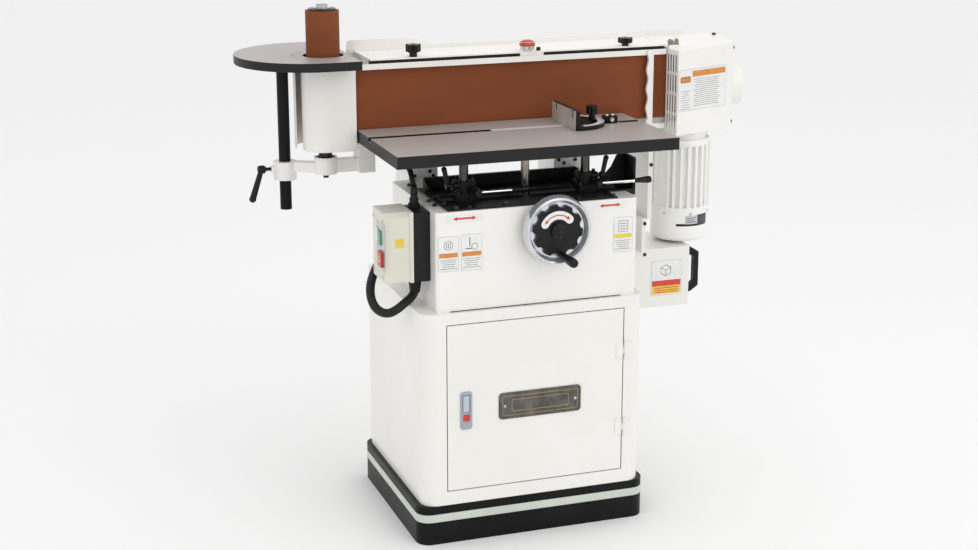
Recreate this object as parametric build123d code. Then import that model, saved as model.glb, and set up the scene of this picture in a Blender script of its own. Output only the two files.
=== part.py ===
from build123d import *
import math
import os

# Edge sander: floor cabinet, lifting work table with mitre gauge, a vertical
# belt head with an idler spindle and end table at the left, and a direct
# drive motor under the belt guard at the right.
# Units mm. X to the right, Y to the back, Z up.
# Origin: on the floor, at the centre of the plinth.

# ---------------------------------------------------------------- dimensions
PLINTH_W, PLINTH_D, PLINTH_H = 547.4, 463.0, 91.4
CAB_W, CAB_D, CAB_TOP, CAB_R = 525.0, 462.0, 536.6, 35.0
SHEET = 2.5
HX0, HX1, HY0, HY1, HTOP = -226.0, 244.0, -220.0, 117.0, 760.0
TX0, TX1, TY0, TY1 = -308.0, 346.0, -212.0, 109.0
TABLE_BOT, TABLE_TOP = 859.3, 887.0
SLOT_Y, SLOT_W, SLOT_D = 5.0, 19.0, 9.5
POST_X, POST_Y, POST_R = (-130.0, 157.5), -120.0, 10.4
SCREW_X, SCREW_R = 13.5, 9.5
WHEEL_X, WHEEL_Z, SHAFT_R = 41.0, 709.0, 6.0
CRANK_X, CRANK_Z = 50.5, 652.0
BELT_Z0, BELT_Z1, BELT_T = 869.6, 1022.0, 0.8
AX_Y, IDLER_X, DRIVE_X = 151.3, -372.5, 524.0
DRUM_R, BELT_GAP = 38.0, 0.3
SLEEVE_R, SLEEVE_Z0, SLEEVE_Z1 = 38.0, 1043.0, 1156.0
END_CX, END_CY, END_R, END_X1 = -393.0, 200.0, 171.0, -314.0
END_Z0, END_Z1 = 1035.0, 1055.0
END_POST_X, END_POST_Y, END_POST_R = -457.0, 200.0, 13.5
PORT_Y, PORT_Z, PORT_R = 190.0, 926.0, 50.8
DOOR_X0, DOOR_X1, DOOR_Z0, DOOR_Z1 = -206.0, 211.0, 125.0, 509.0
PIN_X, PIN_Y = 216.0, -235.5
BASE_Z0, BASE_Z1 = 845.0, 857.0

os.makedirs("parts", exist_ok=True)
NODES = {}


def box(x0, x1, y0, y1, z0, z1):
    return Pos((x0 + x1) / 2, (y0 + y1) / 2, (z0 + z1) / 2) * Box(x1 - x0, y1 - y0, z1 - z0)


def cz(x, y, z0, z1, r):
    return Pos(x, y, (z0 + z1) / 2) * Cylinder(r, z1 - z0)


def cy(x, z, y0, y1, r):
    return Pos(x, (y0 + y1) / 2, z) * Rot(90, 0, 0) * Cylinder(r, y1 - y0)


def cx(y, z, x0, x1, r):
    return Pos((x0 + x1) / 2, y, z) * Rot(0, 90, 0) * Cylinder(r, x1 - x0)


def rr(x0, x1, y0, y1, z0, z1, r):
    return extrude(Pos((x0 + x1) / 2, (y0 + y1) / 2, z0) * RectangleRounded(x1 - x0, y1 - y0, r), z1 - z0)


def pxy(pts, z0, z1):
    return extrude(Pos(0, 0, z0) * Polygon(*pts, align=None), z1 - z0, dir=(0, 0, 1))


def pyz(pts, x0, x1):
    return extrude(Plane(origin=(x0, 0, 0), x_dir=(0, 1, 0), z_dir=(1, 0, 0)) * Polygon(*pts, align=None), x1 - x0, dir=(1, 0, 0))


def pxz(pts, y0, y1):
    return extrude(Plane(origin=(0, y1, 0), x_dir=(1, 0, 0), z_dir=(0, -1, 0)) * Polygon(*pts, align=None), y1 - y0, dir=(0, -1, 0))


def spin_z(pts, x, y):
    # profile of (radius, z) turned about a vertical axis at x, y
    face = Plane(origin=(x, y, 0), x_dir=(1, 0, 0), z_dir=(0, -1, 0)) * Polygon(*pts, align=None)
    return revolve(face, axis=Axis((x, y, 0), (0, 0, 1)))


def spin_y(pts, x, z):
    # profile of (radius, y) turned about an axis along Y at x, z
    face = Plane(origin=(x, 0, z), x_dir=(1, 0, 0), z_dir=(0, 0, 1)) * Polygon(*pts, align=None)
    return revolve(face, axis=Axis((x, 0, z), (0, 1, 0)))


def spin_x(pts, y, z):
    # profile of (x, radius) turned about an axis along X at y, z
    face = Plane(origin=(0, y, z), x_dir=(1, 0, 0), z_dir=(0, -1, 0)) * Polygon(*pts, align=None)
    return revolve(face, axis=Axis((0, y, z), (1, 0, 0)))


def rod(p, q, r0, r1):
    # tapered round bar from p to q
    p, q = Vector(*p), Vector(*q)
    d = q - p
    pl = Plane(origin=p, z_dir=d)
    f = Plane(origin=p, x_dir=pl.x_dir, z_dir=pl.y_dir * -1)
    face = f * Polygon((0, 0), (r0, 0), (r1, d.length), (0, d.length), align=None)
    return revolve(face, axis=Axis(p, d))


def tube(pts, d):
    # round lead along straight runs joined by the largest tangent arcs
    vs = [Vector(*p) for p in pts]
    radii = []
    for a, b, c in zip(vs, vs[1:], vs[2:]):
        turn = math.radians((b - a).get_angle(c - b))
        run = min((b - a).length, (c - b).length)
        radii.append(0.45 * run / math.tan(turn / 2))
    path = FilletPolyline(*pts, radius=radii)
    print("lead d%.1f length %.0f radii %s" % (d, path.length, [round(r) for r in radii]))
    prof = Plane(origin=path @ 0, z_dir=path % 0) * Circle(d / 2)
    body = sweep(prof, path=path)
    print("   volume ratio %.4f" % (body.volume / (math.pi * d * d / 4 * path.length)))
    return body


def gear(cx_, cy_, z0, z1, r_out, r_root, n):
    # straight toothed disc
    g = cz(cx_, cy_, z0, z1, r_root)
    w = 2 * math.pi * r_root / n * 0.45
    teeth = [Pos(cx_, cy_, (z0 + z1) / 2) * Rot(0, 0, 360 / n * i) * Pos((r_out + r_root) / 2 - 0.5, 0, 0) *
             Box(r_out - r_root + 1, w, z1 - z0) for i in range(n)]
    return g + teeth


def hexhead(x, y, z0, h, af):
    return extrude(Pos(x, y, z0) * RegularPolygon(af / 2 / math.cos(math.pi / 6), 6), h)


def star(x, y, z0, z1, z2, r, lobes=5, stem=8.0):
    # lobed knob: stem z0..z1, head z1..z2
    s = cz(x, y, z0, z1, stem)
    h = cz(x, y, z1, z2, r * 0.62)
    for i in range(lobes):
        a = 2 * math.pi * i / lobes
        h += cz(x + r * 0.66 * math.cos(a), y + r * 0.66 * math.sin(a), z1, z2, r * 0.34)
    return s + h


# ------------------------------------------------------------------- plinth
w2, d2 = PLINTH_W / 2, PLINTH_D / 2
# tray with a closed floor; the cabinet's own floor closes its top
NODES["base_plinth"] = (rr(-w2, w2, -d2, d2, 0, PLINTH_H, 32)
                        - rr(-w2 + 10, w2 - 10, -d2 + 10, d2 - 10, 5, PLINTH_H + 1, 22)
                        - (rr(-w2 - 5, w2 + 5, -d2 - 5, d2 + 5, 53, 72, 37)
                           - rr(-w2 + 1, w2 - 1, -d2 + 1, d2 - 1, 50, 75, 31)))

# ------------------------------------------------------------------ cabinet
cw, cd = CAB_W / 2, CAB_D / 2
cab = (rr(-cw, cw, -cd, cd, PLINTH_H, CAB_TOP, CAB_R)
       - rr(-cw + SHEET, cw - SHEET, -cd + SHEET, cd - SHEET, PLINTH_H + 3, CAB_TOP - 3, CAB_R - SHEET)
       - box(DOOR_X0 - 2, DOOR_X1 + 2, -250, -220, DOOR_Z0 - 2, DOOR_Z1 + 2))
HINGES = ((209.0, 248.0), (393.0, 431.0))
for z0, z1 in HINGES:
    kn = (z1 - z0) / 4
    leaf = box(PIN_X + 0.5, PIN_X + 17, -cd - 2, -cd, z0, z1) - cz(PIN_X, PIN_Y, z0 + kn, z1 - kn, 4.5)
    cab += leaf
    cab += cz(PIN_X, PIN_Y, z0, z0 + kn, 4) - box(PIN_X - 6, PIN_X + 6, -cd + 0.0, -cd + 5, z0, z1)
    cab += cz(PIN_X, PIN_Y, z1 - kn, z1, 4) - box(PIN_X - 6, PIN_X + 6, -cd + 0.0, -cd + 5, z0, z1)
    cab += box(PIN_X, PIN_X + 2, -cd - 4, -cd - 1, z0, z0 + kn) + box(PIN_X, PIN_X + 2, -cd - 4, -cd - 1, z1 - kn, z1)
    cab += cz(PIN_X, PIN_Y, z0 - 2, z1 + 2, 2)
NODES["cabinet_body"] = cab

door = box(DOOR_X0, DOOR_X1, -cd, -cd + 2.5, DOOR_Z0, DOOR_Z1)
door += (box(DOOR_X0 + 2, DOOR_X1 - 2, -cd + 2.5, -cd + 14, DOOR_Z0 + 2, DOOR_Z1 - 2)
         - box(DOOR_X0 + 4, DOOR_X1 - 4, -cd + 2.5, -cd + 15, DOOR_Z0 + 4, DOOR_Z1 - 4))
door -= box(-174, -152, -240, -220, 282, 343)
for z0, z1 in HINGES:
    kn = (z1 - z0) / 4
    door += (box(PIN_X - 22, PIN_X - 5.2, -cd - 2, -cd, z0, z1)
             + box(PIN_X - 5.2, PIN_X, -cd - 3.6, -cd - 1.6, z0 + kn + 0.4, z1 - kn - 0.4)
             + cz(PIN_X, PIN_Y, z0 + kn + 0.4, z1 - kn - 0.4, 4))
    door -= cz(PIN_X, PIN_Y, z0 - 5, z1 + 5, 2.05)
NODES["cabinet_door"] = door

latch = box(-177, -150, -cd - 3, -cd, 267, 354)
latch = fillet(latch.edges().filter_by(Axis.Y), 6)
latch += box(-173.8, -152.2, -cd, -cd + 19, 282.2, 342.8)
latch -= box(-170.2, -155.8, -cd - 10, -cd + 15, 286.8, 301.2)
latch -= box(-172, -155, -cd - 3.5, -cd - 1, 306, 346)
NODES["latch_body"] = latch
NODES["latch_button"] = box(-170, -156, -cd - 6, -cd + 8, 287, 301)

# ------------------------------------------------------------ upper housing
hous = rr(HX0, HX1, HY0, HY1, CAB_TOP, HTOP, 9) - rr(HX0 + 4, HX1 - 4, HY0 + 4, HY1 - 4, CAB_TOP - 1, HTOP - 5, 5)
for x in POST_X:
    hous -= cz(x, POST_Y, HTOP - 10, HTOP + 1, 12.5)
hous -= cz(SCREW_X, POST_Y, HTOP - 10, HTOP + 1, 12.5)
hous -= cy(WHEEL_X, WHEEL_Z, HY0 - 1, HY0 + 6, 16.05)
hous -= cx(-12, 672, HX0 - 1, HX0 + 6, 13.0)
NODES["upper_housing"] = hous

# -------------------------------------------------- saddle and lift support
sad = box(-197, 198, -214, 12, HTOP, HTOP + 4)
sad += box(-183, 186, 2, 12, HTOP + 4, 788)
sad += pyz([(-40, HTOP + 4), (2, HTOP + 4), (2, 784)], -183, -175) + pyz([(-40, HTOP + 4), (2, HTOP + 4), (2, 784)], 178, 186)
ridge = cx(POST_Y, 763.3, -189, 226, 10.6) - box(-200, 240, -140, -100, 740, HTOP)
sad += ridge
for x in POST_X:
    sad += cz(x, POST_Y, HTOP, 768, 30)
    sad -= box(x - 24.3, x + 24.3, POST_Y - 41, POST_Y + 41, 768, 780)
# right wing: gusset, foot and side plate standing outside the housing
sad += box(198, 243, -152, -88, HTOP, HTOP + 4)
sad += pxz([(204, 762), (204, 786), (219, 792), (232, 805), (246, 832), (265, 834), (265, 762)], -98, -92.5)
sad += box(262, 268, -152, -92, 750, 835)
sad += box(240, 265, -151, -93, 761, 764)
for x in POST_X:
    sad -= cz(x, POST_Y, 750, 780, 12.5)
sad -= cz(SCREW_X, POST_Y, 750, 790, 12.5)
NODES["saddle_casting"] = sad

col = None
for i, x in enumerate(POST_X):
    c = rr(x - 24, x + 24, POST_Y - 24, POST_Y + 24, 768, 779, 8)
    c += cz(x, POST_Y, 779, 804, 17.5)
    c += box(x - 25, x + 25, POST_Y - 7, POST_Y + 7, 792, 804)
    c += box(x + 10, x + 25, POST_Y - 24, POST_Y, 779, 792)
    s = -1 if i == 0 else 1
    c += cx(POST_Y - 8, 796, min(x + s * 12, x + s * 27), max(x + s * 12, x + s * 27), 8)
    c -= cz(x, POST_Y, 760, 810, POST_R + 0.05)
    col = c if col is None else col + c
NODES["post_collars"] = col

NODES["lift_posts"] = Compound(children=[cz(x, POST_Y, 600, TABLE_BOT, POST_R) for x in POST_X])
NODES["lift_screw"] = cz(SCREW_X, POST_Y, 610, TABLE_BOT, SCREW_R)

gb = box(-15, 62, -150, -90, 682, HTOP - 5) - box(-9, 56, -142, -98, 690, 729)
gb -= cz(SCREW_X, POST_Y, 670, 760, 10.2)
gb -= cy(WHEEL_X, WHEEL_Z, -151, -92, SHAFT_R + 0.05)
gb -= box(-9, 56, -142, -98, 735, 748)
NODES["lift_gearbox"] = gb
ng = gear(SCREW_X, POST_Y, 700, 718, 18.3, 16.0, 24) + cz(SCREW_X, POST_Y, 690.2, 728.8, 13.5)
ng -= cz(SCREW_X, POST_Y, 680, 740, SCREW_R + 0.05)
NODES["lift_nut_gear"] = ng

shaft = cy(WHEEL_X, WHEEL_Z, -246, -92.5, SHAFT_R)
pin = Rot(90, 0, 0) * gear(0, 0, -12, 12, 8.9, 7.4, 12)
shaft += Pos(WHEEL_X, POST_Y, WHEEL_Z) * pin
NODES["handwheel_shaft"] = shaft

# handwheel: chromed dished rim and web, black scalloped centre
hw = spin_y([(SHAFT_R, -250), (62, -250), (66, -258), (68.5, -263), (71, -264.5), (73.5, -262), (75.5, -254), (77, -243),
             (76.5, -240.5), (75, -239.5), (73, -241), (71.5, -252), (69.5, -258), (67, -254), (64, -247.5), (22, -247.5),
             (18, -238), (SHAFT_R, -238)], WHEEL_X, WHEEL_Z)
hw += cy(CRANK_X, CRANK_Z, -333, -248, 4)
NODES["handwheel"] = hw
ctr = cy(WHEEL_X, WHEEL_Z, -257, -250, 58)
for i in range(10):
    a = math.radians(36 * i + 10)
    ctr -= cy(WHEEL_X + 62 * math.cos(a), WHEEL_Z + 62 * math.sin(a), -260, -245, 11)
ctr += cy(WHEEL_X, WHEEL_Z, -265, -250, 17)
ctr -= cy(CRANK_X, CRANK_Z, -270, -240, 4.02)
ctr -= cy(WHEEL_X, WHEEL_Z, -258, -245, SHAFT_R)
NODES["handwheel_centre"] = ctr
NODES["crank_handle"] = spin_y([(4.05, -330.5), (7.0, -331), (9.8, -327), (10.6, -318), (10.2, -305), (8.8, -282), (9.0, -266), (8.0, -259), (4.05, -257.5)],
                               CRANK_X, CRANK_Z) - cy(CRANK_X, CRANK_Z, -340, -250, 4.05)

# --------------------------------------------------------------- main table
tab = box(TX0, TX1, TY0, TY1, TABLE_BOT, TABLE_TOP)
tab = chamfer(tab.faces().sort_by(Axis.Z)[-1].edges(), 0.8)
nx, ny, rib = 6, 3, 8
px = (TX1 - TX0 - rib * (nx + 1)) / nx
py = (TY1 - TY0 - rib * (ny + 1)) / ny
for i in range(nx):
    for j in range(ny):
        x0 = TX0 + rib + i * (px + rib)
        y0 = TY0 + rib + j * (py + rib)
        tab -= box(x0, x0 + px, y0, y0 + py, TABLE_BOT - 1, 873)
for x in POST_X + (SCREW_X,):
    tab += cz(x, POST_Y, TABLE_BOT, 874, 22)
tab -= box(TX0 - 1, TX1 + 1, SLOT_Y - SLOT_W / 2, SLOT_Y + SLOT_W / 2, TABLE_TOP - SLOT_D, TABLE_TOP + 1)
NODES["main_table"] = tab

# -------------------------------------------------------------- mitre gauge
MX, MZ = 172.0, TABLE_TOP
mbar = box(-23, 290, SLOT_Y - 9.3, SLOT_Y + 9.3, TABLE_TOP - SLOT_D + 0.2, TABLE_TOP) + cz(MX, SLOT_Y, MZ, MZ + 15, 5)
mstop = (box(254, 284, SLOT_Y - 12, SLOT_Y + 12, MZ, MZ + 16) - cy(269, MZ + 9, -20, 30, 3)
         + cy(269, MZ + 9, -9, 19, 3) + cy(269, MZ + 9, -12, -7, 5))
NODES["mitre_bar"] = Compound(children=[mbar, mstop])
mh = cz(MX, SLOT_Y, MZ + 0.3, MZ + 10, 78) - box(60, 160, -120, 120, 880, 950)
mh += box(155, 165, -69, 78, MZ + 0.3, MZ + 45)
mh -= box(150, 170, 49, 55, MZ + 31, MZ + 50)
mh -= box(150, 170, -53, -47, MZ + 28, MZ + 50)
ring = cz(MX, SLOT_Y, 880, 900, 57) - cz(MX, SLOT_Y, 870, 910, 49)
ring -= box(60, MX + 22, -120, 120, 870, 910)
mh -= ring
mh += cz(MX, SLOT_Y, MZ + 10, MZ + 13, 14)
mh += pxz([(165, MZ + 10), (165, MZ + 36), (188, MZ + 10)], 42, 48) + pxz([(165, MZ + 10), (165, MZ + 36), (188, MZ + 10)], -38, -32)
mh -= cz(MX, SLOT_Y, 870, 920, 5.05)
NODES["mitre_head"] = mh
NODES["mitre_knob"] = cz(MX + 53, SLOT_Y, MZ, MZ + 12, 3.4) + cz(MX + 53, SLOT_Y, MZ + 12, MZ + 18, 8) + star(MX + 53, SLOT_Y, MZ + 17, MZ + 24, MZ + 42, 13.5, 7, 7)

# ------------------------------------------------------------------- levers
for name, x0, xk, xe in (("left_lock_lever", -112.5, -34.0, 6.0), ("right_lock_lever", 172.0, 259.0, 300.0)):
    lv = spin_y([(0, -174), (7, -174), (8.5, -171), (8.5, -160), (6, -157), (4, -157), (4, -144.3), (0, -144.3)], x0, 785.5)
    lv += cx(-165, 785.5, x0, xk + 1, 3.4)
    lv += spin_x([(xk, 0), (xk, 4.2), (xk + 3, 5), (xe - 8, 8), (xe - 2, 7.4), (xe, 5), (xe, 0)], -165, 785.5)
    NODES[name] = lv
for name, x0, s in (("left_ratchet_lever", -157.3, -1), ("right_ratchet_lever", 184.8, 1)):
    xh = x0 + s * 17
    lv = cx(POST_Y - 8, 796, min(x0, xh), max(x0, xh), 4)
    lv += cx(POST_Y - 8, 796, min(x0 + s * 6, xh), max(x0 + s * 6, xh), 7.5)
    lv += rod((x0 + s * 12, POST_Y - 8, 798), (x0 + s * 20, POST_Y - 8, 834), 5.0, 5.6)
    lv += Pos(x0 + s * 20.3, POST_Y - 8, 834) * Sphere(6.2)
    NODES[name] = lv

# ------------------------------------------------------------ head and belt
# two hollow uprights behind the housing carry the head
cols = []
for x0, x1 in ((-183, -113), (178, 250)):
    c = box(x0, x1, 122, 230, CAB_TOP, BASE_Z0)
    c += box(x0 - 14, x1 + 8, 119, 230.5, CAB_TOP, CAB_TOP + 14)
    c += box(x0 - 14, x1 + 8, 119, 238, BASE_Z0 - 14, BASE_Z0)
    c -= box(x0 + 8, x1 - 8, 130, 222, CAB_TOP - 1, BASE_Z0 + 1)
    cols.append(c)
NODES["head_column"] = Compound(children=cols)

head = box(-325, 455, 102, 242, BASE_Z0, BASE_Z1) + box(455, 600, 112, 242, BASE_Z0, BASE_Z1)
head += box(-318, 470, 121.5, 131, BASE_Z1, 1026)
head += box(-318, 470, 131, 182, 1018, 1026) + box(-318, 470, 131, 182, BASE_Z1, 865) + box(-318, 470, 131, 182, 938, 946)
for x in (-318, -60, 190, 462):
    head += box(x, x + 8, 131, 182, 865, 1018)
head += box(-330, -300, 128, 175, 1026, 1034) + cz(IDLER_X, AX_Y, 1027, 1034, 30) + box(-372.5, -318, 130, 173, 1027, 1034)
head -= cz(IDLER_X, AX_Y, 1020, 1040, 20)
head -= cz(DRIVE_X, AX_Y, 840, 860, 30)
head -= cz(-235, 140, 840, 860, 8)
NODES["head_casting"] = head
NODES["platen"] = box(-300, 455, AX_Y - DRUM_R, AX_Y - DRUM_R + 8.2, 872, 1020)


def loop(r, z0, z1):
    return (box(IDLER_X, DRIVE_X, AX_Y - r, AX_Y + r, z0, z1) + cz(IDLER_X, AX_Y, z0, z1, r) + cz(DRIVE_X, AX_Y, z0, z1, r))


BELT_R = DRUM_R + BELT_GAP
NODES["sanding_belt"] = loop(BELT_R + BELT_T, BELT_Z0, BELT_Z1) - loop(BELT_R, BELT_Z0 - 1, BELT_Z1 + 1)
print("belt length %.0f" % (2 * (DRIVE_X - IDLER_X) + 2 * math.pi * (BELT_R + BELT_T / 2)))

NODES["belt_front_strip"] = box(-304, 455, 102, 105, 1023, 1036) + box(-304, 455, 102, 128, 1026, 1029)
lid = box(-275, 455, 108, 241.8, 1042.5, 1046)
lid += box(-275, -272, 128.3, 241.8, 1026, 1042.5) + box(-272, 455, 238.8, 241.8, 1026, 1042.5)
lid += cz(-170, 119, 1029, 1042.5, 8) + cz(355, 119, 1029, 1042.5, 8) + cz(107, 119, 1029, 1042.5, 8)
NODES["top_cover"] = lid
wave = [(404 + 2.2 * math.sin((z - 862) / 46 * 2 * math.pi), z) for z in range(872, 1029, 6)]
NODES["work_stop"] = pxz([(403, BASE_Z0), (403, 866)] + wave + [(404, 1036), (419, 1036), (419, BASE_Z0)], 94, 102)


def arc(cx_, cy_, r, a0, a1, n):
    return [(cx_ + r * math.cos(math.radians(a0 + (a1 - a0) * i / n)), cy_ + r * math.sin(math.radians(a0 + (a1 - a0) * i / n)))
            for i in range(n + 1)]


# rear guard: flat back plate that turns round the idler end
outer = [(455, 246)] + arc(-366, 176, 70, 90, 180, 14) + [(-436, 168)]
inner = [(-434, 168)] + arc(-366, 176, 68, 180, 90, 14) + [(455, 244)]
rg = pxy(outer + inner, BASE_Z0 - 4, 1072)
rg += box(-325, 455, 242, 244, BASE_Z0, 1053) + box(-280, 455, 241.8, 244, 1026, 1045)
prof = [(-450, 1026), (-296, 1026), (-292, 1069), (-288, 1071.5), (-160, 1071.5), (-132, 1068.5), (-108, 1063), (-93, 1057),
        (-88, 1053), (-30, 1054.5), (-26, 1053), (296, 1054.5), (300, 1058), (460, 1059.5), (460, 1100), (-450, 1100)]
rg -= pxz(prof, 230, 260)
rg -= pxz(prof, 140, 240)
NODES["rear_guard"] = rg

ig_o = cz(IDLER_X, AX_Y, 840, 1034, 51) + box(IDLER_X, -311, AX_Y - 51, AX_Y, 840, 1034)
ig_i = cz(IDLER_X, AX_Y, 830, 1040, 49.5) + box(IDLER_X, -300, AX_Y - 49.5, AX_Y + 60, 830, 1040)
ig = (ig_o - ig_i) - box(-460, -300, 167, 260, 830, 1040)
ig += box(-325, -311, AX_Y - 49.5, AX_Y - 46.5, BASE_Z1 + 1, 1022) - box(-330, -300, 99, 103, 830, 850)
NODES["idler_guard"] = ig

# rotating idler: live shaft, drum and the sanding sleeve above the end table
NODES["idler_shaft"] = (cz(IDLER_X, AX_Y, 783, 1160, 12.5) + cz(IDLER_X, AX_Y, 773, 783, 6.5) + cz(IDLER_X, AX_Y, 823, 835, 15.5)
                        + cz(IDLER_X, AX_Y, SLEEVE_Z1, SLEEVE_Z1 + 4, 31) + hexhead(IDLER_X, AX_Y, SLEEVE_Z1 + 4, 9, 22))
NODES["idler_drum"] = cz(IDLER_X, AX_Y, 868, 1025, DRUM_R) - cz(IDLER_X, AX_Y, 860, 1030, 12.5)
NODES["spindle_sleeve"] = cz(IDLER_X, AX_Y, SLEEVE_Z0, SLEEVE_Z1, SLEEVE_R) - cz(IDLER_X, AX_Y, 1040, 1160, 12.5)

# arm that carries the idler's lower bearing and the end table's post clamp
arm = cz(END_POST_X, END_POST_Y, 766, 808, 27) + cz(IDLER_X, AX_Y, 783, 822, 26.5)
vx, vy = IDLER_X - END_POST_X, AX_Y - END_POST_Y
vl = math.hypot(vx, vy)
nx_, ny_ = -vy / vl * 12, vx / vl * 12
arm += pxy([(END_POST_X + nx_, END_POST_Y + ny_), (END_POST_X - nx_, END_POST_Y - ny_), (IDLER_X - nx_, AX_Y - ny_), (IDLER_X + nx_, AX_Y + ny_)], 785, 808)
arm += box(IDLER_X, -262, 139, 163, 785, 815) + box(-300, -262, 125, 178, 783, BASE_Z0)
arm += cx(END_POST_Y, 791, -490, -470, 8)
arm -= cz(END_POST_X, END_POST_Y, 750, 820, END_POST_R + 0.05)
arm -= cz(IDLER_X, AX_Y, 788, 830, 20)
arm -= cz(IDLER_X, AX_Y, 770, 790, 13.5)
NODES["idler_arm"] = arm

# end table: D-shaped plate with a clear hole round the sleeve
et = cz(END_CX, END_CY, END_Z0, END_Z1, END_R) - box(END_CX, 0, 0, 400, 1000, 1100)
et += box(END_CX, END_X1, END_CY - END_R, END_CY + END_R, END_Z0, END_Z1)
et -= cz(IDLER_X, AX_Y, 1030, 1060, 46)
et -= cz(IDLER_X, AX_Y, END_Z1 - 1, END_Z1 + 1, 71) - cz(IDLER_X, AX_Y, END_Z1 - 2, END_Z1 + 2, 69.8)
NODES["end_table"] = et
NODES["end_table_post"] = cz(END_POST_X, END_POST_Y, 695, END_Z0, END_POST_R) + cz(END_POST_X, END_POST_Y, 1031, END_Z0, 18.5)
lv = cx(END_POST_Y, 791, -508, -490.3, 4) + spin_x([(-521, 0), (-521, 7), (-518, 9.5), (-506, 9.5), (-502, 6), (-502, 0)], END_POST_Y, 791)
lv += rod((-513, END_POST_Y, 789), (-534.5, END_POST_Y, 724), 6.0, 7.6) + Pos(-534.8, END_POST_Y, 723) * Sphere(8.2)
NODES["end_table_lever"] = lv

# ------------------------------------------------------ drive end and motor
P = [(466, 57), (618, 112), (650, 136), (650, 245), (458, 245), (458, 109)]
Q = [(469, 61.3), (616.6, 114.8), (647, 137.4), (647, 242), (461.2, 242), (461.2, 109.5)]
dc_o = pxy(P, 831, 1064) - pyz([(40, 1034.8), (260, 1048), (260, 1100), (40, 1100)], 400, 700)
dc_i = pxy(Q, 820, 1064) - pyz([(40, 1031.8), (260, 1045), (260, 1100), (40, 1100)], 400, 700)
dc = dc_o - dc_i
dc -= box(440, 470, 109.5, 242, 820, 1030)
dc -= box(440, 458.5, 40, 260, 820, 1100)
dc += box(462, 560, 242, 245, 1040, 1061)
for i in range(4):
    for j in range(4):
        y0 = 66 + i * 10.6
        z0 = 839 + j * 48
        dc -= box(450, 475, y0, y0 + 6.4, z0, z0 + 41)
dc -= cx(PORT_Y, PORT_Z, 640, 655, PORT_R - 2.3)
# keeper block for the toggle latch
dc += pyz([(100, 1036.5), (114, 1037.5), (114, 1044.5), (100, 1044.5)], 461, 491)
NODES["drive_cover"] = dc
NODES["dust_port"] = (cx(PORT_Y, PORT_Z, 650, 653, 53.5) + cx(PORT_Y, PORT_Z, 650, 684, PORT_R)) - cx(PORT_Y, PORT_Z, 640, 710, PORT_R - 2.3)

NODES["drive_drum"] = cz(DRIVE_X, AX_Y, 868, 1025, DRUM_R) - cz(DRIVE_X, AX_Y, 860, 1030, 12)
mf = cz(DRIVE_X, AX_Y, 639, BASE_Z0, 60) + cz(DRIVE_X, AX_Y, 826, 830.7, 66) + cz(DRIVE_X, AX_Y, 796, 812, 68)
for i in range(24):
    a = 360 / 24 * (i + 0.5) - 180
    if a < -136:
        continue
    mf += Pos(DRIVE_X, AX_Y, 720.5) * Rot(0, 0, a) * Pos(65, 0, 0) * Box(13, 7.4, 157)
# plain pad with a cross rib on the side that faces the machine
mf += Pos(DRIVE_X, AX_Y, 720.5) * Rot(0, 0, -158.5) * Pos(60.5, 0, 0) * Box(11, 48, 157)
for y in (-20.5, 20.5):
    mf += Pos(DRIVE_X, AX_Y, 720.5) * Rot(0, 0, -158.5) * Pos(65.2, y, 0) * Box(7, 6.5, 157)
mf += Pos(DRIVE_X, AX_Y, 708) * Rot(0, 0, -158.5) * Pos(65.2, 0, 0) * Box(7, 42, 6)
mf += cz(DRIVE_X, AX_Y, 639, 645, 71.2)
mf -= cz(DRIVE_X, AX_Y, 655, 815, 41)
mf -= cz(DRIVE_X, AX_Y, 655, 675, 55) + cz(DRIVE_X, AX_Y, 795, 815, 55)
mf -= cz(DRIVE_X, AX_Y, 630, 850, 14)
mf -= cz(DRIVE_X, AX_Y, 643, 656, 22) + cz(DRIVE_X, AX_Y, 814, 828, 22)
NODES["motor_frame"] = mf
rot_ = cz(DRIVE_X, AX_Y, 590, 1022, 12) + cz(DRIVE_X, AX_Y, 682, 788, 40.4)
rot_ += cz(DRIVE_X, AX_Y, 608, 612, 56) + cz(DRIVE_X, AX_Y, 600, 626, 18)
for i in range(8):
    rot_ += Pos(DRIVE_X, AX_Y, 616) * Rot(0, 0, 45 * i) * Pos(36, 0, 0) * Box(38, 2.5, 18)
NODES["motor_rotor"] = rot_
fc = cz(DRIVE_X, AX_Y, 560, 639, 70.5)
fc = fillet(fc.edges().filter_by(GeomType.CIRCLE).sort_by(Axis.Z)[0], 13.5)
fc -= cz(DRIVE_X, AX_Y, 574, 640, 68.5) + cz(DRIVE_X, AX_Y, 562.5, 575, 57)
for i in range(-4, 5):
    h = math.sqrt(50 ** 2 - (i * 11) ** 2)
    fc -= box(DRIVE_X + i * 11 - 2, DRIVE_X + i * 11 + 2, AX_Y - h, AX_Y + h, 555, 565)
NODES["motor_fan_cover"] = fc


def brg(z0, z1, x, r0, r1):
    return cz(x, AX_Y, z0, z1, r1) - cz(x, AX_Y, z0 - 1, z1 + 1, r0)


wb = (cy(WHEEL_X, WHEEL_Z, -232, -214, 16) + cy(WHEEL_X, WHEEL_Z, -224, HY0, 23)) - cy(WHEEL_X, WHEEL_Z, -240, -200, SHAFT_R + 0.05)
NODES["bearings"] = Compound(children=[brg(789, 804, IDLER_X, 12.55, 20), brg(1027, 1034, IDLER_X, 12.55, 20),
                                       brg(643, 655, DRIVE_X, 12.05, 22), brg(815, 828, DRIVE_X, 12.05, 22), wb])

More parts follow.
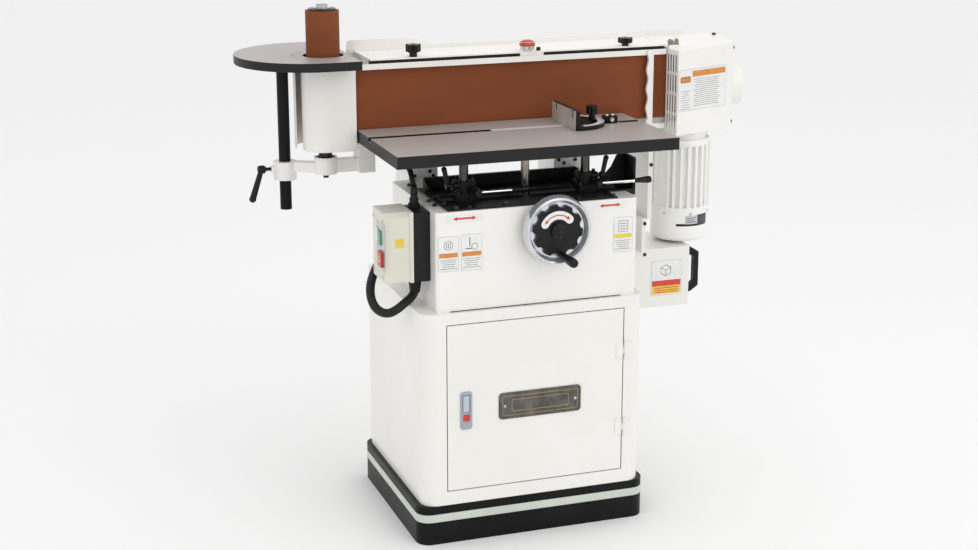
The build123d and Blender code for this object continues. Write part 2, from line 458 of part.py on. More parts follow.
# lower guard box on the cabinet's right side, and the side panel above it
lb = rr(CAB_W / 2, 518, 70, 231, 406, 554, 5) - rr(CAB_W / 2 + 3, 515, 73, 228, 409, 551, 3)
sp = box(388, 391, 46, 242, 637, BASE_Z0) + box(388, 399, 43, 46, 637, BASE_Z0)
sp += box(375, 378, 46, 242, 554, 640) + box(375, 386, 43, 46, 554, 640) + box(375, 391, 46, 242, 637, 640)
NODES["belt_side_guards"] = Compound(children=[lb, sp])
hd = pxz([(518, 432), (518, 546), (528, 546), (549, 533), (549, 446), (528, 432)], 84, 100)
hd -= pxz([(517, 452), (517, 526), (528, 526), (536, 519), (536, 459), (528, 452)], 80, 104)
NODES["pull_handle"] = hd

# ------------------------------------------------------------------- switch
sb = box(-265, HX0, -178, -94, 600, 754) - box(-262, HX0 - 3, -175, -97, 603, 751)
sb += cz(-246, -125, 754, 764, 13) + spin_z([(0, 764), (10, 764), (10, 771), (7, 783), (7, 785), (0, 785)], -246, -125)
sb += cz(-246, -125, 582, 600, 14) + cz(-246, -125, 588, 595, 16.5)
sb += box(-256, -236, -133, -117, 751, 754.5)
NODES["switch_box"] = sb
sc = box(-331, -265, -180, -92, 603, 757)
sc = chamfer(sc.edges().filter_by(Axis.X).group_by(Axis.Z)[-1].sort_by(Axis.Y)[0], 11)
sc = fillet(sc.faces().sort_by(Axis.X)[0].edges(), 3.5)
sc += box(-273, -265, -182.5, -89.5, 600.5, 757)
sc -= box(-328, -264, -177, -95, 606, 745)
sc -= box(-340, -325, -162.3, -143.7, 683.7, 716.3) + box(-340, -325, -176.3, -147.7, 637.7, 672.3)
NODES["switch_cover"] = sc
NODES["start_button"] = fillet(box(-334.5, -312, -162, -144, 684, 716).faces().sort_by(Axis.X)[0].edges(), 1.5)
NODES["stop_button"] = fillet(box(-337.5, -312, -176, -148, 638, 672).faces().sort_by(Axis.X)[0].edges(), 2.0)

# leads the machine holds at both ends
NODES["motor_lead"] = tube([(-246, -125, 785), (-246, -125, 801), (-248, -117, 821), (-246, -96, 833), (-243, -50, 835.5), (-240, 8, 834.5),
                            (-238, 62, 835), (-236.5, 102, 832.5), (-235.5, 125, 831.5), (-235, 139, 838), (-235, 140, 851)], 12.0)
NODES["supply_conduit"] = tube([(-246, -125, 582), (-246, -125, 569.5), (-249.8, -127.8, 559.5), (-259.5, -134.5, 551.5),
                                (-276, -142, 543), (-294, -145, 531.5), (-311, -140, 522.5), (-326, -129, 524), (-337, -115, 534), (-341, -100, 553), (-337, -84, 575),
                                (-323, -67, 600), (-301, -52, 626), (-272, -36, 650), (-245, -20, 666), (-222, -12, 672)], 20.0)

# ---------------------------------------------------------- knobs and latch
NODES["left_star_knob"] = star(-170, 119, 1046, 1057, 1074, 18, 5, 9) - cz(-170, 119, 1073, 1080, 3)
NODES["right_star_knob"] = star(355, 119, 1046, 1053, 1065, 18, 5, 8)
NODES["tracking_knob"] = (cz(107, 119, 1046, 1050, 9) + star(107, 119, 1049, 1050, 1058, 17, 6, 8)
                          + spin_z([(0, 1058), (18.5, 1058), (18.5, 1062), (16, 1067), (9, 1070.5), (0, 1071.5)], 107, 119))
NODES["cover_latch"] = (box(463, 486, 103, 111, 1044.8, 1048.8) + cy(486, 1046.8, 103, 111, 2) + cy(464, 1046.8, 102, 112, 2)
                        + box(468, 480, 105, 109, 1048.8, 1050))

# ------------------------------------------------------------------ screws
sc_ = []
for x, y in ((-176, -206), (-146, -206), (-63, -206), (107, -206), (190, -206), (-190, -28), (-190, -100), (-190, -165)):
    sc_.append(hexhead(x, y, HTOP + 4, 5, 10))
for x, y in ((-207, -152), (-207, -110), (-200, 60), (-150, 85), (-112, 100), (205, 60), (225, 95)):
    sc_.append(hexhead(x, y, HTOP, 5, 10))
for x in POST_X:
    for dx, dy in ((-19, -19), (19, 19), (-19, 19)):
        sc_.append(hexhead(x + dx, POST_Y + dy, 779, 5, 8))
    for dx in (-20.5, 20.5):
        sc_.append(cz(x + dx, POST_Y, 804, 809, 4))
for y, z in ((140, 1025), (140, 843)):
    sc_.append(cx(y, z, 650, 653, 4))
sc_.append(cz(640, 225, 1045.9, 1050, 5) - box(600, 660, 200, 250, 1040, 1046.3))
for x, z in ((382, 627), (395, 770)):
    sc_.append(cy(x, z, 40.5, 43, 4.2))
sc_.append(cy(396, 542, 67.6, 70, 4.2))
NODES["machine_screws"] = Compound(children=sc_)

for name, s in NODES.items():
    export_step(s, "parts/%s.step" % name)
print(len(NODES), "nodes")
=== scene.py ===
import bpy, bmesh, math
from mathutils import Vector, Matrix


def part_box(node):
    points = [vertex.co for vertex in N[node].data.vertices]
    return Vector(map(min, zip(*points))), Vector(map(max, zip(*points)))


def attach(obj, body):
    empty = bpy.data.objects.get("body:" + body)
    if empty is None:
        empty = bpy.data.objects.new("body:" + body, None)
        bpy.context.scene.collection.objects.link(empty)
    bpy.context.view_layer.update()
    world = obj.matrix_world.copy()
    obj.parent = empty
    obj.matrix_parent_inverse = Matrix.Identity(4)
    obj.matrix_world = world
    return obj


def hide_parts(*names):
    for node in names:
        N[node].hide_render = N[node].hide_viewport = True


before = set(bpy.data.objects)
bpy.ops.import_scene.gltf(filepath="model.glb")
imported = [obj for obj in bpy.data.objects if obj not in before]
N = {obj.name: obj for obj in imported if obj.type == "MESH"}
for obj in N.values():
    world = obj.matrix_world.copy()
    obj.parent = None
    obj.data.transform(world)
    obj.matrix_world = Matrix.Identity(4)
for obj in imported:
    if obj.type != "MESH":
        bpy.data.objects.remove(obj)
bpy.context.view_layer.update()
M = 0.001

# ------------------------------------------------------------------ camera
cam_data = bpy.data.cameras.new("camera")
cam = bpy.data.objects.new("camera", cam_data)
bpy.context.scene.collection.objects.link(cam)
cam.location = (-1.3213, -3.6925, 1.6417)
cam.rotation_euler = (math.radians(90 - 15.62), 0, math.radians(-19.29))
cam_data.sensor_width = 36
cam_data.lens = 64.55
cam_data.clip_end = 100
bpy.context.scene.camera = cam
bpy.context.scene.view_settings.view_transform = "Standard"

# --------------------------------------------------------------- materials


def new_mat(name):
    m = bpy.data.materials.new(name)
    m.use_nodes = True
    nt = m.node_tree
    return m, nt, nt.nodes["Principled BSDF"]


def link(nt, a, ai, b, bi):
    nt.links.new(a.outputs[ai], b.inputs[bi])


def noise_node(nt, tc, scale, detail=3.0, rough=0.55, stretch=None):
    n = nt.nodes.new("ShaderNodeTexNoise")
    n.inputs["Scale"].default_value = scale
    n.inputs["Detail"].default_value = detail
    n.inputs["Roughness"].default_value = rough
    if stretch:
        mp = nt.nodes.new("ShaderNodeMapping")
        mp.inputs["Scale"].default_value = stretch
        link(nt, tc, "Object", mp, "Vector")
        link(nt, mp, "Vector", n, "Vector")
    else:
        link(nt, tc, "Object", n, "Vector")
    return n


def ramp(nt, src, out, lo, hi, c0, c1):
    r = nt.nodes.new("ShaderNodeValToRGB")
    r.color_ramp.elements[0].position = lo
    r.color_ramp.elements[1].position = hi
    r.color_ramp.elements[0].color = (*c0, 1)
    r.color_ramp.elements[1].color = (*c1, 1)
    link(nt, src, out, r, "Fac")
    return r


def maprange(nt, src, out, a, b, c, d):
    r = nt.nodes.new("ShaderNodeMapRange")
    for k, v in zip(("From Min", "From Max", "To Min", "To Max"), (a, b, c, d)):
        r.inputs[k].default_value = v
    link(nt, src, out, r, "Value")
    return r


def mix(nt, fac, fo, a, ao, b, bo):
    x = nt.nodes.new("ShaderNodeMix")
    x.data_type = "RGBA"
    ins = [i for i in x.inputs if i.type == "RGBA"]
    if fac is not None:
        nt.links.new(fac.outputs[fo], x.inputs["Factor"])
    for s, src, o in ((ins[0], a, ao), (ins[1], b, bo)):
        if isinstance(src, tuple):
            s.default_value = (*src, 1)
        else:
            nt.links.new(src.outputs[o], s)
    return x


def rgba_out(x):
    return [o for o in x.outputs if o.type == "RGBA"][0]


def edge_mask(nt, radius, lo, hi):
    bv = nt.nodes.new("ShaderNodeBevel")
    bv.samples = 4
    bv.inputs["Radius"].default_value = radius
    ge = nt.nodes.new("ShaderNodeNewGeometry")
    dt = nt.nodes.new("ShaderNodeVectorMath")
    dt.operation = "DOT_PRODUCT"
    link(nt, bv, "Normal", dt, 0)
    link(nt, ge, "Normal", dt, 1)
    return maprange(nt, dt, "Value", hi, lo, 0, 1)


def surface(name, base, base2, rough=(0.3, 0.45), metallic=0.0, scale=5.0, fine=500.0, bump=0.02, dist=0.0004,
            wear=None, wear_amt=0.6, stretch=None, coat=0.0, spec=0.5, fine_stretch=None):
    """Layered finish: broad tone variation, fine grain in bump and roughness, rubbed edges."""
    m, nt, b = new_mat(name)
    tc = nt.nodes.new("ShaderNodeTexCoord")
    n1 = noise_node(nt, tc, scale, 4.0, 0.6, stretch)
    col = ramp(nt, n1, "Fac", 0.35, 0.68, base, base2)
    n2 = noise_node(nt, tc, fine, 2.0, 0.5, fine_stretch)
    rg = maprange(nt, n2, "Fac", 0.3, 0.7, rough[0], rough[1])
    out = col.outputs["Color"]
    if wear:
        em = edge_mask(nt, 0.0022, 0.80, 0.985)
        n3 = noise_node(nt, tc, 60.0, 4.0, 0.7)
        th = maprange(nt, n3, "Fac", 0.48, 0.62, 0.0, wear_amt)
        mu = nt.nodes.new("ShaderNodeMath")
        mu.operation = "MULTIPLY"
        link(nt, em, "Result", mu, 0)
        link(nt, th, "Result", mu, 1)
        x = mix(nt, mu, "Value", col, "Color", wear, None)
        out = rgba_out(x)
    nt.links.new(out, b.inputs["Base Color"])
    link(nt, rg, "Result", b, "Roughness")
    bp = nt.nodes.new("ShaderNodeBump")
    bp.inputs["Strength"].default_value = bump
    bp.inputs["Distance"].default_value = dist
    link(nt, n2, "Fac", bp, "Height")
    link(nt, bp, "Normal", b, "Normal")
    b.inputs["Metallic"].default_value = metallic
    b.inputs["Coat Weight"].default_value = coat
    b.inputs["Coat Roughness"].default_value = 0.12
    b.inputs["Specular IOR Level"].default_value = spec
    return m


def ribbed(name, pitch):
    """Dark flexible conduit: rings follow the curve's own length coordinate."""
    m, nt, b = new_mat(name)
    tc = nt.nodes.new("ShaderNodeTexCoord")
    w = nt.nodes.new("ShaderNodeTexWave")
    w.wave_type = "BANDS"
    w.bands_direction = "X"
    w.inputs["Scale"].default_value = pitch
    w.inputs["Distortion"].default_value = 0.0
    link(nt, tc, "UV", w, "Vector")
    n = noise_node(nt, tc, 300.0, 3.0, 0.6)
    c = ramp(nt, n, "Fac", 0.3, 0.7, (0.005, 0.005, 0.005), (0.012, 0.0118, 0.0115))
    link(nt, c, "Color", b, "Base Color")
    r = maprange(nt, n, "Fac", 0.3, 0.7, 0.30, 0.46)
    link(nt, r, "Result", b, "Roughness")
    b1 = nt.nodes.new("ShaderNodeBump")
    b1.inputs["Strength"].default_value = 0.5
    b1.inputs["Distance"].default_value = 0.0008
    link(nt, w, "Fac", b1, "Height")
    b2 = nt.nodes.new("ShaderNodeBump")
    b2.inputs["Strength"].default_value = 0.15
    b2.inputs["Distance"].default_value = 0.0002
    link(nt, n, "Fac", b2, "Height")
    link(nt, b1, "Normal", b2, "Normal")
    link(nt, b2, "Normal", b, "Normal")
    b.inputs["Specular IOR Level"].default_value = 0.32
    return m


WHITE = surface("white_enamel", (0.83, 0.815, 0.775), (0.88, 0.868, 0.835), (0.26, 0.38), 0, 3.0, 650, 0.10, 0.0004,
                wear=(0.50, 0.48, 0.44), wear_amt=0.55, coat=0.25)
CREAM = surface("cream_plastic", (0.68, 0.665, 0.575), (0.74, 0.725, 0.635), (0.38, 0.52), 0, 9.0, 900, 0.18, 0.0003,
                wear=(0.82, 0.82, 0.80), wear_amt=0.4)
BLACK = surface("black_enamel", (0.004, 0.004, 0.0042), (0.009, 0.0088, 0.0086), (0.30, 0.46), 0, 6.0, 420, 0.20, 0.0004,
                wear=(0.10, 0.097, 0.093), wear_amt=0.6, spec=0.15)
CASTB = surface("black_casting", (0.005, 0.005, 0.0055), (0.016, 0.0155, 0.015), (0.36, 0.56), 0, 14.0, 260, 0.45, 0.0006,
                wear=(0.13, 0.125, 0.115), wear_amt=0.5, spec=0.2)
PLASTIC = surface("black_moulding", (0.006, 0.006, 0.0065), (0.013, 0.013, 0.0135), (0.28, 0.44), 0, 16.0, 700, 0.22, 0.0003,
                  wear=(0.06, 0.06, 0.06), wear_amt=0.4, spec=0.24)
CHROME = surface("chrome", (0.74, 0.74, 0.75), (0.84, 0.84, 0.85), (0.05, 0.13), 1.0, 9.0, 240, 0.02, 0.0002)
WHEELCHROME = surface("wheel_chrome", (0.66, 0.68, 0.72), (0.78, 0.79, 0.82), (0.16, 0.26), 0.72, 9.0, 240, 0.03, 0.0002,
                      wear=(0.42, 0.42, 0.43), wear_amt=0.4)
SCREWCHROME = surface("screw_chrome", (0.22, 0.205, 0.18), (0.34, 0.32, 0.29), (0.14, 0.24), 1.0, 9.0, 240, 0.03, 0.0002, fine_stretch=(1, 1, 20))
DARKCHROME = surface("column_chrome", (0.060, 0.057, 0.050), (0.105, 0.100, 0.088), (0.12, 0.22), 1.0, 9.0, 240, 0.03, 0.0002, fine_stretch=(1, 1, 20))
STEEL = surface("turned_steel", (0.50, 0.49, 0.47), (0.66, 0.65, 0.63), (0.22, 0.40), 1.0, 18.0, 700, 0.12, 0.0002,
                fine_stretch=(1, 1, 14))
BLUED = surface("blackened_steel", (0.02, 0.02, 0.021), (0.05, 0.048, 0.046), (0.25, 0.42), 0.85, 16.0, 500, 0.12, 0.0002,
                wear=(0.35, 0.34, 0.33), wear_amt=0.6)
AGED = surface("aged_steel", (0.22, 0.205, 0.17), (0.36, 0.34, 0.29), (0.30, 0.46), 0.8, 26.0, 400, 0.25, 0.0004,
               wear=(0.62, 0.60, 0.55), wear_amt=0.8)
BRONZE = surface("aged_pewter", (0.085, 0.083, 0.075), (0.17, 0.165, 0.15), (0.34, 0.52), 0.7, 26.0, 400, 0.25, 0.0004,
                 wear=(0.34, 0.32, 0.27), wear_amt=0.8)
GILT = surface("worn_gilt", (0.36, 0.25, 0.12), (0.50, 0.37, 0.19), (0.28, 0.42), 0.9, 40.0, 600, 0.15, 0.0002)
RED = surface("red_moulding", (0.50, 0.020, 0.012), (0.62, 0.040, 0.022), (0.22, 0.36), 0, 20.0, 600, 0.08, 0.0002, coat=0.3)
GREEN = surface("green_moulding", (0.012, 0.22, 0.10), (0.02, 0.30, 0.14), (0.24, 0.38), 0, 20.0, 600, 0.08, 0.0002, coat=0.3)
# black rubber for the leads; the same material is also painted shade in the gap under the top cover
RUBBER_AND_SHADE = surface("rubber_sheath_and_painted_shade", (0.006, 0.006, 0.006), (0.013, 0.0125, 0.012), (0.38, 0.55), 0, 22.0, 520, 0.30, 0.0003, spec=0.24)
MOTORW = surface("motor_paint", (0.87, 0.865, 0.835), (0.91, 0.905, 0.88), (0.30, 0.44), 0, 5.0, 300, 0.22, 0.0004,
                 wear=(0.48, 0.46, 0.43), wear_amt=0.5)
PALE = surface("pale_band", (0.56, 0.60, 0.55), (0.63, 0.67, 0.61), (0.34, 0.46), 0, 8.0, 500, 0.10, 0.0003)
# light steel for the mitre scale band; the same material is also a painted highlight on the mitre bar's top
BRIGHT_AND_HIGHLIGHT = surface("bright_steel_and_painted_highlight", (0.70, 0.685, 0.665), (0.80, 0.785, 0.765), (0.30, 0.44), 0.25, 12.0, 600, 0.10, 0.0002, fine_stretch=(1, 20, 1))
SHEATH = ribbed("conduit_sheath", 16.0)
FENCE = surface("ground_fence", (0.46, 0.435, 0.39), (0.60, 0.57, 0.52), (0.30, 0.46), 0.35, 14.0, 500, 0.15, 0.0003, wear=(0.75, 0.73, 0.70), wear_amt=0.7,
                fine_stretch=(1, 1, 14))
IVORY = surface("label_white", (0.78, 0.78, 0.76), (0.84, 0.84, 0.82), (0.30, 0.44), 0, 30.0, 900, 0.05, 0.0001)
# dark label print; the same material is also painted shade in the housing gap and round the latch paddle
INK_AND_SHADE = surface("label_ink_and_painted_shade", (0.045, 0.045, 0.050), (0.075, 0.075, 0.080), (0.36, 0.48), 0, 60.0, 900, 0.05, 0.0001)
GREYINK = surface("label_grey", (0.22, 0.22, 0.23), (0.30, 0.30, 0.31), (0.36, 0.48), 0, 60.0, 900, 0.05, 0.0001)
EDGEINK = surface("label_edge", (0.44, 0.46, 0.51), (0.52, 0.54, 0.59), (0.36, 0.48), 0, 60.0, 900, 0.05, 0.0001)
ORANGE = surface("label_orange", (0.62, 0.22, 0.04), (0.70, 0.28, 0.06), (0.32, 0.44), 0, 60.0, 900, 0.05, 0.0001)
YELLOW = surface("label_yellow", (0.78, 0.56, 0.05), (0.84, 0.62, 0.08), (0.32, 0.44), 0, 60.0, 900, 0.05, 0.0001)
LABELRED = surface("label_red", (0.60, 0.045, 0.03), (0.68, 0.07, 0.045), (0.32, 0.44), 0, 60.0, 900, 0.05, 0.0001)
LATCHG = surface("latch_grey", (0.33, 0.37, 0.44), (0.40, 0.44, 0.51), (0.26, 0.40), 0.2, 30.0, 700, 0.08, 0.0002, wear=(0.6, 0.62, 0.66), wear_amt=0.5)
PADDLE = surface("latch_paddle", (0.46, 0.51, 0.58), (0.53, 0.58, 0.65), (0.22, 0.36), 0.2, 30.0, 700, 0.08, 0.0002)
FELT = surface("label_silver", (0.52, 0.52, 0.53), (0.62, 0.62, 0.62), (0.28, 0.40), 0.7, 30.0, 900, 0.05, 0.0001)


def abrasive(name, c0, c1):
    m, nt, b = new_mat(name)
    tc = nt.nodes.new("ShaderNodeTexCoord")
    grit = noise_node(nt, tc, 1400.0, 2.0, 0.7)
    broad = noise_node(nt, tc, 3.0, 4.0, 0.6, (1, 1, 5))
    c = ramp(nt, broad, "Fac", 0.3, 0.7, c0, c1)
    g = ramp(nt, grit, "Fac", 0.35, 0.65, (0.72, 0.72, 0.72), (1, 1, 1))
    x = nt.nodes.new("ShaderNodeMix")
    x.data_type = "RGBA"
    x.blend_type = "MULTIPLY"
    x.inputs["Factor"].default_value = 1.0
    ins = [i for i in x.inputs if i.type == "RGBA"]
    nt.links.new(c.outputs["Color"], ins[0])
    nt.links.new(g.outputs["Color"], ins[1])
    nt.links.new(rgba_out(x), b.inputs["Base Color"])
    r = maprange(nt, grit, "Fac", 0.3, 0.7, 0.62, 0.86)
    link(nt, r, "Result", b, "Roughness")
    bp = nt.nodes.new("ShaderNodeBump")
    bp.inputs["Strength"].default_value = 0.55
    bp.inputs["Distance"].default_value = 0.0006
    link(nt, grit, "Fac", bp, "Height")
    link(nt, bp, "Normal", b, "Normal")
    b.inputs["Specular IOR Level"].default_value = 0.3
    return m


GRIT = abrasive("abrasive_cloth", (0.225, 0.057, 0.016), (0.275, 0.073, 0.022))


def ground_plate(name):
    """Ground grey top, dark painted edges and underside: chosen by the surface's own direction."""
    m, nt, b = new_mat(name)
    tc = nt.nodes.new("ShaderNodeTexCoord")
    ge = nt.nodes.new("ShaderNodeNewGeometry")
    sp = nt.nodes.new("ShaderNodeSeparateXYZ")
    link(nt, ge, "Normal", sp, "Vector")
    top = maprange(nt, sp, "Z", 0.55, 0.80, 0.0, 1.0)
    broad = noise_node(nt, tc, 2.2, 5.0, 0.6)
    grind = noise_node(nt, tc, 90.0, 3.0, 0.7, (1, 26, 1))
    c = ramp(nt, broad, "Fac", 0.3, 0.72, (0.44, 0.405, 0.385), (0.52, 0.482, 0.460))
    g = ramp(nt, grind, "Fac", 0.3, 0.7, (0.86, 0.86, 0.86), (1, 1, 1))
    x = nt.nodes.new("ShaderNodeMix")
    x.data_type = "RGBA"
    x.blend_type = "MULTIPLY"
    x.inputs["Factor"].default_value = 1.0
    ins = [i for i in x.inputs if i.type == "RGBA"]
    nt.links.new(c.outputs["Color"], ins[0])
    nt.links.new(g.outputs["Color"], ins[1])
    em = edge_mask(nt, 0.0016, 0.80, 0.985)
    dark = mix(nt, em, "Result", (0.009, 0.009, 0.0095), None, (0.05, 0.05, 0.049), None)
    y = nt.nodes.new("ShaderNodeMix")
    y.data_type = "RGBA"
    ins = [i for i in y.inputs if i.type == "RGBA"]
    link(nt, top, "Result", y, "Factor")
    nt.links.new(rgba_out(dark), ins[0])
    nt.links.new(rgba_out(x), ins[1])
    nt.links.new(rgba_out(y), b.inputs["Base Color"])
    b.inputs["Specular IOR Level"].default_value = 0.3
    met = maprange(nt, sp, "Z", 0.55, 0.80, 0.0, 0.35)
    link(nt, met, "Result", b, "Metallic")
    r = maprange(nt, grind, "Fac", 0.3, 0.7, 0.34, 0.52)
    link(nt, r, "Result", b, "Roughness")
    bp = nt.nodes.new("ShaderNodeBump")
    bp.inputs["Strength"].default_value = 0.12
    bp.inputs["Distance"].default_value = 0.0003
    link(nt, grind, "Fac", bp, "Height")
    link(nt, bp, "Normal", b, "Normal")
    return m


GROUND = ground_plate("ground_iron")

FINISH = {
    "base_plinth": BLACK, "cabinet_body": WHITE, "cabinet_door": WHITE, "latch_body": LATCHG, "latch_button": RED,
    "upper_housing": WHITE, "saddle_casting": CASTB, "post_collars": CASTB, "lift_posts": DARKCHROME, "lift_screw": SCREWCHROME,
    "lift_gearbox": CASTB, "lift_nut_gear": STEEL, "handwheel_shaft": STEEL, "handwheel": WHEELCHROME,
    "handwheel_centre": PLASTIC, "crank_handle": PLASTIC, "main_table": GROUND, "mitre_bar": STEEL,
    "mitre_head": CASTB, "mitre_knob": PLASTIC, "left_lock_lever": PLASTIC, "right_lock_lever": PLASTIC,
    "left_ratchet_lever": PLASTIC, "right_ratchet_lever": PLASTIC, "head_column": WHITE, "head_casting": WHITE,
    "platen": STEEL, "sanding_belt": GRIT, "belt_front_strip": WHITE, "top_cover": WHITE, "work_stop": WHITE,
    "rear_guard": WHITE, "idler_guard": WHITE, "idler_shaft": BLUED, "idler_drum": STEEL, "spindle_sleeve": GRIT,
    "idler_arm": WHITE, "end_table": GROUND, "end_table_post": BLACK, "end_table_lever": PLASTIC,
    "drive_cover": WHITE, "dust_port": WHITE, "drive_drum": STEEL, "motor_frame": MOTORW, "motor_rotor": STEEL,
    "motor_fan_cover": MOTORW, "bearings": STEEL, "belt_side_guards": WHITE, "pull_handle": PLASTIC,
    "switch_box": PLASTIC, "switch_cover": CREAM, "start_button": GREEN, "stop_button": RED, "motor_lead": RUBBER_AND_SHADE,
    "supply_conduit": RUBBER_AND_SHADE, "left_star_knob": PLASTIC, "right_star_knob": PLASTIC, "tracking_knob": STEEL,
    "cover_latch": AGED, "machine_screws": BLUED,
}
# rounding of each casting's or pressing's edges, in mm
ROUND = {"base_plinth": 1.5, "upper_housing": 1.6, "saddle_casting": 1.2, "post_collars": 1.2, "main_table": 0.5,
         "head_casting": 1.0, "head_column": 2.0, "idler_arm": 1.6, "end_table": 1.0, "drive_cover": 1.4, "motor_frame": 0.8,
         "belt_side_guards": 0.8, "pull_handle": 2.2, "switch_box": 2.0, "switch_cover": 3.0, "mitre_head": 1.0,
         "cabinet_body": 0.7, "cabinet_door": 0.7, "handwheel_centre": 2.0, "top_cover": 0.6, "rear_guard": 0.5,
         "left_star_knob": 1.6, "right_star_knob": 1.6, "tracking_knob": 1.2, "mitre_knob": 1.4, "latch_body": 0.7,
         "work_stop": 1.2, "machine_screws": 0.5, "idler_guard": 0.4, "stop_button": 1.5, "start_button": 1.0}
for name, o in N.items():
    o.data.materials.clear()
    o.data.materials.append(FINISH[name])
    r = ROUND.get(name, 0.4)
    w = o.modifiers.new("weld", "WELD")
    w.merge_threshold = 0.00002
    b = o.modifiers.new("bevel", "BEVEL")
    b.width = r * M
    b.segments = 2
    b.limit_method = "ANGLE"
    b.angle_limit = math.radians(32)
    b.use_clamp_overlap = True
    b.miter_outer = "MITER_ARC"
    wn = o.modifiers.new("normals", "WEIGHTED_NORMAL")
    wn.keep_sharp = True
    wn.weight = 60

# ----------------------------------------------------------- mesh builders


def obj_from_bm(bm, name, mat, body, smooth=True):
    bmesh.ops.recalc_face_normals(bm, faces=bm.faces)
    me = bpy.data.meshes.new(name)
    bm.to_mesh(me)
    bm.free()
    for p in me.polygons:
        p.use_smooth = smooth
    o = bpy.data.objects.new(name, me)
    bpy.context.scene.collection.objects.link(o)
    me.materials.append(mat)
    wn = o.modifiers.new("normals", "WEIGHTED_NORMAL")
    wn.weight = 60
    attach(o, body)
    return o


def frame_of(origin, u, v):
    """4x4 with local x along u, y along v and z along their cross product, all in mm."""
    u = Vector(u).normalized()
    v = Vector(v).normalized()
    w = u.cross(v)
    m = Matrix((u, v, w)).transposed().to_4x4()
    m.translation = Vector(origin) * M
    return m


def outline_plate(bm, pts, t, mtx, bevel=0.0, z0=0.0):
    """Extrudes a closed outline (mm, local x and y) by t and rounds its upper rim."""
    vs = [bm.verts.new(mtx @ Vector((x * M, y * M, z0 * M))) for x, y in pts]
    f = bm.faces.new(vs)
    ext = bmesh.ops.extrude_face_region(bm, geom=[f])
    up = [g for g in ext["geom"] if isinstance(g, bmesh.types.BMVert)]
    d = (mtx.to_3x3() @ Vector((0, 0, 1))) * t * M
    bmesh.ops.translate(bm, verts=up, vec=d)
    if bevel:
        upset = set(up)
        es = [e for e in bm.edges if e.verts[0] in upset and e.verts[1] in upset]
        bmesh.ops.bevel(bm, geom=es, offset=bevel * M, segments=2, affect="EDGES", profile=0.6)


def rrect(cx, cy, w, h, r, n=5):
    pts = []
    for sx, sy, a0 in ((1, 1, 0), (-1, 1, 90), (-1, -1, 180), (1, -1, 270)):
        for i in range(n + 1):
            a = math.radians(a0 + 90 * i / n)
            pts.append((cx + sx * (w / 2 - r) + r * math.cos(a), cy + sy * (h / 2 - r) + r * math.sin(a)))
    return pts


def circle_pts(cx, cy, r, n=40, a0=0, a1=360):
    return [(cx + r * math.cos(math.radians(a0 + (a1 - a0) * i / n)), cy + r * math.sin(math.radians(a0 + (a1 - a0) * i / n)))
            for i in range(n if a1 - a0 == 360 else n + 1)]


def lathe(name, prof, mtx, mat, body, n=48):
    """Turns (radius, height) points in mm about the local z of mtx."""
    bm = bmesh.new()
    rings = []
    for r, z in prof:
        if r < 1e-6:
            rings.append([bm.verts.new(mtx @ Vector((0, 0, z * M)))])
        else:
            rings.append([bm.verts.new(mtx @ Vector((r * M * math.cos(2 * math.pi * i / n), r * M * math.sin(2 * math.pi * i / n), z * M)))
                          for i in range(n)])
    for a, b in zip(rings, rings[1:]):
        for i in range(n):
            j = (i + 1) % n
            q = [a[i % len(a)], a[j % len(a)], b[j % len(b)], b[i % len(b)]]
            q = list(dict.fromkeys(q))
            if len(q) > 2:
                bm.faces.new(q)
    for ring, flip in ((rings[0], True), (rings[-1], False)):
        if len(ring) > 1:
            bm.faces.new(ring[::-1] if flip else ring)
    return obj_from_bm(bm, name, mat, body)


def plate(name, pts, t, mtx, mat, body, bevel=0.15, z0=0.0):
    bm = bmesh.new()
    outline_plate(bm, pts, t, mtx, bevel, z0)
    return obj_from_bm(bm, name, mat, body)


def many(name, shapes, t, mtx, mat, body, z0=0.0, bevel=0.0):
    bm = bmesh.new()
    for pts in shapes:
        outline_plate(bm, pts, t, mtx, bevel, z0)
    return obj_from_bm(bm, name, mat, body, smooth=False)


def ring_plate(name, outer, inner, t, mtx, mat, body, z0=0.0):
    """A closed frame between two outlines with the same number of points."""
    bm = bmesh.new()
    rings = []
    for pts, z in ((outer, z0), (outer, z0 + t), (inner, z0 + t), (inner, z0)):
        rings.append([bm.verts.new(mtx @ Vector((x * M, y * M, z * M))) for x, y in pts])
    n = len(outer)
    for a, b in zip(rings, rings[1:] + rings[:1]):
        for i in range(n):
            j = (i + 1) % n
            bm.faces.new((a[i], a[j], b[j], b[i]))
    return obj_from_bm(bm, name, mat, body, smooth=False)


def bar(cx, cy, w, h):
    return [(cx - w / 2, cy - h / 2), (cx + w / 2, cy - h / 2), (cx + w / 2, cy + h / 2), (cx - w / 2, cy + h / 2)]


def double_arrow(w, h, shaft):
    a = h * 0.95
    return [(-w / 2, 0), (-w / 2 + a, h / 2), (-w / 2 + a, shaft / 2), (w / 2 - a, shaft / 2), (w / 2 - a, h / 2), (w / 2, 0),
            (w / 2 - a, -h / 2), (w / 2 - a, -shaft / 2), (-w / 2 + a, -shaft / 2), (-w / 2 + a, -h / 2)]


# ------------------------------------------------------------ plinth stripe
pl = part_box("base_plinth")
hw, hd = pl[1][0] / M, pl[1][1] / M
bm = bmesh.new()
loops = []
for off, z in ((-0.9, 53.2), (0.25, 53.3), (0.55, 53.9), (0.55, 71.1), (0.25, 71.7), (-0.9, 71.8)):
    pts = rrect(0, 0, 2 * (hw + off), 2 * (hd + off), 32 + off, 10)
    loops.append([bm.verts.new((x * M, y * M, z * M)) for x, y in pts])
for a, b in zip(loops, loops[1:] + loops[:1]):
    for i in range(len(a)):
        j = (i + 1) % len(a)
        bm.faces.new((a[i], a[j], b[j], b[i]))
stripe = obj_from_bm(bm, "plinth_stripe", PALE, "frame")

